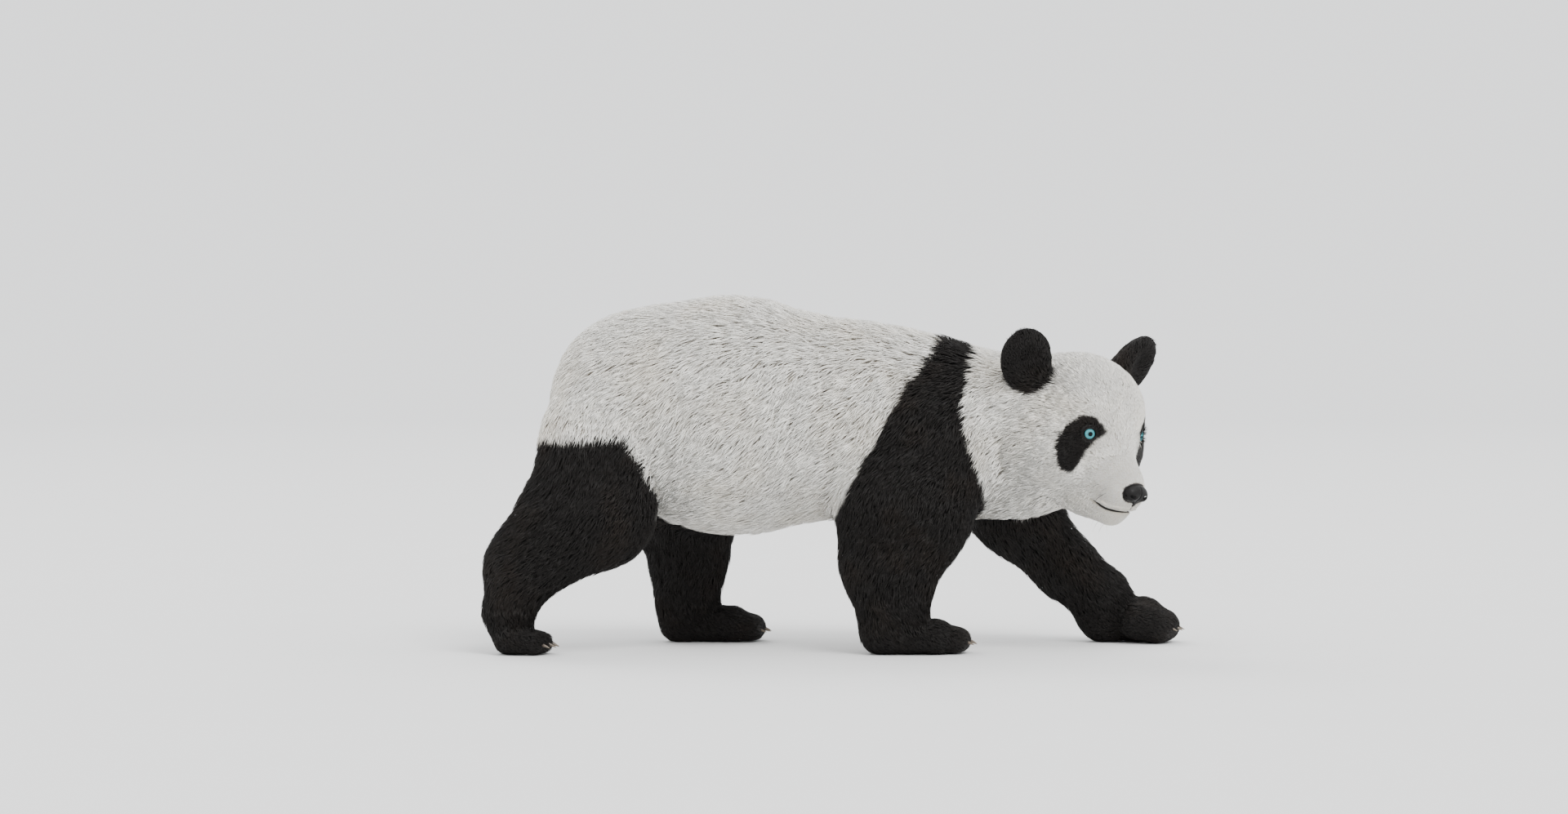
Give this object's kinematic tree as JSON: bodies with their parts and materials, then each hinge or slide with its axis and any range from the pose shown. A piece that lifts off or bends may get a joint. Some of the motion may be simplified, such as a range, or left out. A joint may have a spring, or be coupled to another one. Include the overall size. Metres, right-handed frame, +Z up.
{
  "type": "giant panda model",
  "caption": "Life-size walking giant panda with its head turned aside, white coat with black legs, shoulder band, ears and eye patches.",
  "frame": {"origin": "on the ground, below the middle of the animal's box", "axes": "+X the way the animal walks, +Y to its left, +Z up"},
  "size_m": [1.556, 0.5074, 0.777],
  "materials": {
    "coat_white": "dense matt fur, cream white",
    "coat_black": "dense fur, black with a faint brown sheen",
    "nose_skin": "moist pebbled black skin",
    "eye": "wet gloss, blue-green iris and dark pupil",
    "claw": "satin horn, dark at the root"
  },
  "bodies": {
    "root": {"trunk": "coat_white", "neck": "coat_white", "head": "coat_white", "tail": "coat_white", "shoulders": "coat_black", "ear_left": "coat_black", "ear_right": "coat_black", "nose": "nose_skin", "eye_left": "eye", "eye_right": "eye", "upper_leg_fore_right": "coat_black", "lower_leg_fore_right": "coat_black", "paw_fore_right": "coat_black", "claw_fore_right_1": "claw", "claw_fore_right_2": "claw", "claw_fore_right_3": "claw", "claw_fore_right_4": "claw", "claw_fore_right_5": "claw", "upper_leg_fore_left": "coat_black", "lower_leg_fore_left": "coat_black", "paw_fore_left": "coat_black", "claw_fore_left_1": "claw", "claw_fore_left_2": "claw", "claw_fore_left_3": "claw", "claw_fore_left_4": "claw", "claw_fore_left_5": "claw", "upper_leg_hind_right": "coat_black", "lower_leg_hind_right": "coat_black", "paw_hind_right": "coat_black", "claw_hind_right_1": "claw", "claw_hind_right_2": "claw", "claw_hind_right_3": "claw", "claw_hind_right_4": "claw", "claw_hind_right_5": "claw", "upper_leg_hind_left": "coat_black", "lower_leg_hind_left": "coat_black", "paw_hind_left": "coat_black", "claw_hind_left_1": "claw", "claw_hind_left_2": "claw", "claw_hind_left_3": "claw", "claw_hind_left_4": "claw", "claw_hind_left_5": "claw"}
  },
  "joints": []
}
